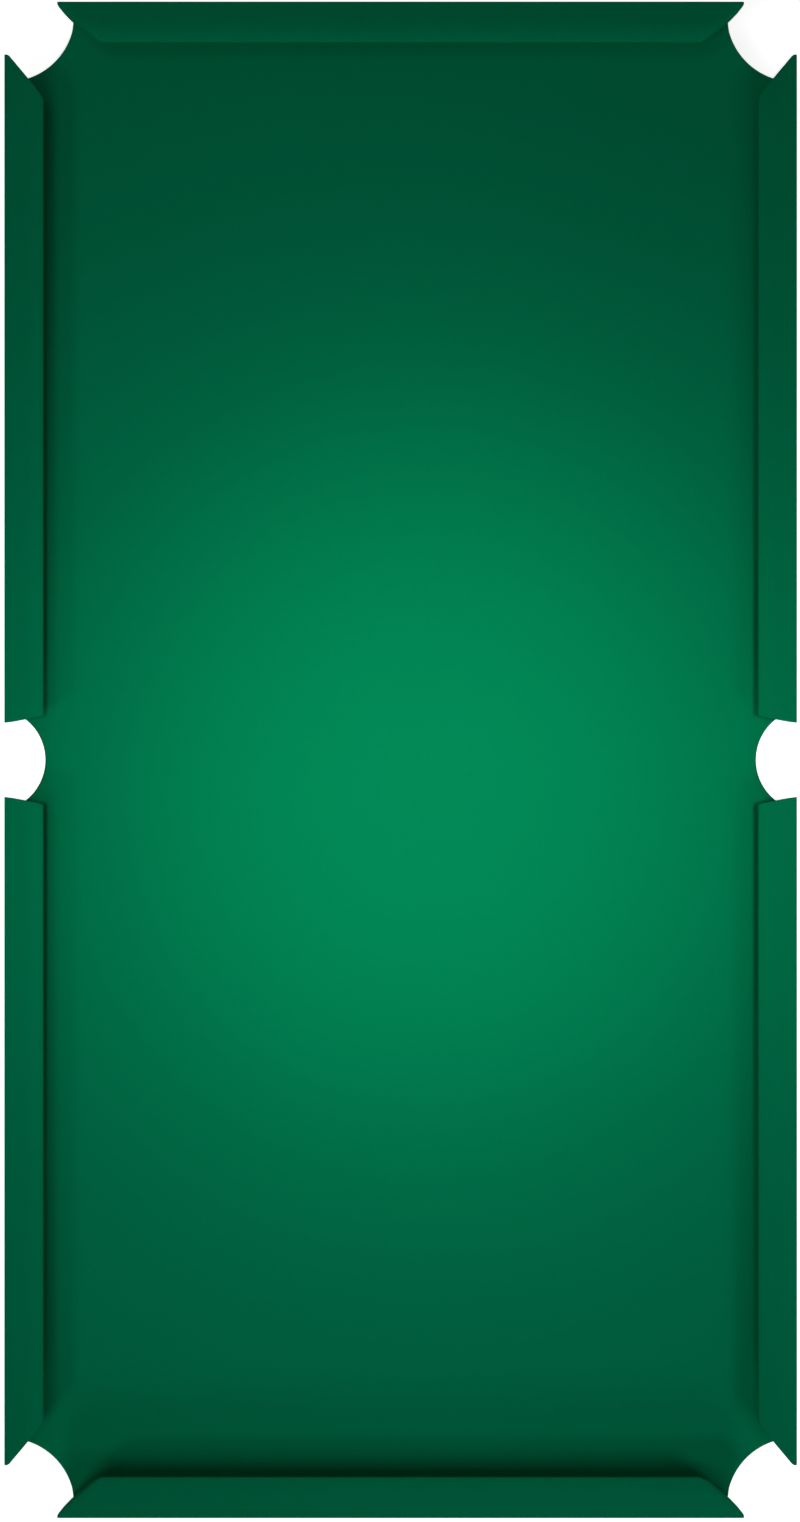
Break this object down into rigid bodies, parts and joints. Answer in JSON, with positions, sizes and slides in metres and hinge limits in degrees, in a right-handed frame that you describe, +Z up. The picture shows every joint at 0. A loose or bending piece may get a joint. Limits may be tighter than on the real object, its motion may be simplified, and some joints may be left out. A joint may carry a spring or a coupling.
{
  "type": "pool table top",
  "caption": "Flat green-cloth pool table bed on slate and a wood liner, with cloth-covered rubber cushions along its edges and corner and side pocket cut-outs.",
  "frame": {"origin": "middle of the underside of the wood liner", "axes": "+Z up, +Y along the table towards the head cushion, +X across it to the right"},
  "size_m": [1.0928, 2.0888, 0.083],
  "materials": {
    "cloth": "matte",
    "slate": "matte",
    "liner_wood": "matte",
    "rail_wood": "matte",
    "strip_wood": "matte",
    "rubber": "matte",
    "facing_rubber": "matte",
    "steel": "satin",
    "brass": "satin",
    "filler": "matte"
  },
  "bodies": {
    "root": {"liner_left": "liner_wood", "liner_right": "liner_wood", "liner_head": "liner_wood", "liner_foot": "liner_wood", "liner_cross": "liner_wood", "slate_bed": "slate", "slate_screws": "steel", "screw_fillers": "filler", "bed_cloth": "cloth", "bed_cloth_staples": "steel", "rail_inserts": "brass", "rail_bolts": "steel", "rail_washers": "steel", "cushion_staples": "steel", "subrail_head": "rail_wood", "rubber_head": "rubber", "facings_head": "facing_rubber", "feather_strip_head": "strip_wood", "cushion_cloth_head": "cloth", "subrail_foot": "rail_wood", "rubber_foot": "rubber", "facings_foot": "facing_rubber", "feather_strip_foot": "strip_wood", "cushion_cloth_foot": "cloth", "subrail_left_head": "rail_wood", "rubber_left_head": "rubber", "facings_left_head": "facing_rubber", "feather_strip_left_head": "strip_wood", "cushion_cloth_left_head": "cloth", "subrail_left_foot": "rail_wood", "rubber_left_foot": "rubber", "facings_left_foot": "facing_rubber", "feather_strip_left_foot": "strip_wood", "cushion_cloth_left_foot": "cloth", "subrail_right_head": "rail_wood", "rubber_right_head": "rubber", "facings_right_head": "facing_rubber", "feather_strip_right_head": "strip_wood", "cushion_cloth_right_head": "cloth", "subrail_right_foot": "rail_wood", "rubber_right_foot": "rubber", "facings_right_foot": "facing_rubber", "feather_strip_right_foot": "strip_wood", "cushion_cloth_right_foot": "cloth"}
  },
  "joints": []
}
